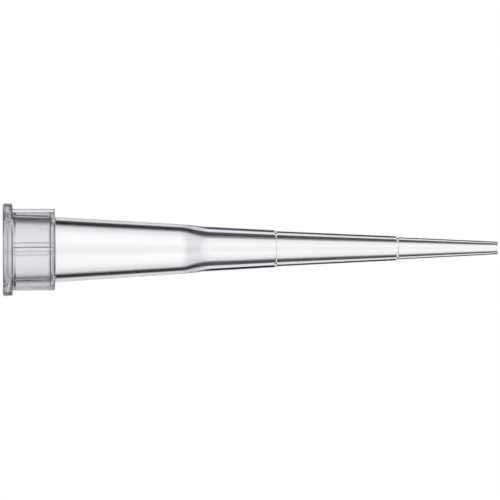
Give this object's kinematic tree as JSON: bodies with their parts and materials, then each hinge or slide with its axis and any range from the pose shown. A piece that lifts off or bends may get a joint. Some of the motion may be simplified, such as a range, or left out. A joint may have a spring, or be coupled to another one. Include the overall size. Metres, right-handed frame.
{
  "type": "pipette tip",
  "caption": "Clear moulded tip for a micro-volume pipette: flanged socket with lengthwise ribs, tapered barrel, necked capillary with graduation rings and a fine outlet.",
  "frame": {"origin": "centre of the flange's open face, which the tip stands on", "axes": "+Z along the bore, from the socket to the outlet; +X through one of the ribs"},
  "size_m": [0.006, 0.006, 0.0315],
  "materials": {
    "clear_polypropylene": "clear and polished on the barrel and capillary, slightly satin on the hub and flange"
  },
  "bodies": {
    "root": {"pipette_tip": "clear_polypropylene"}
  },
  "joints": []
}
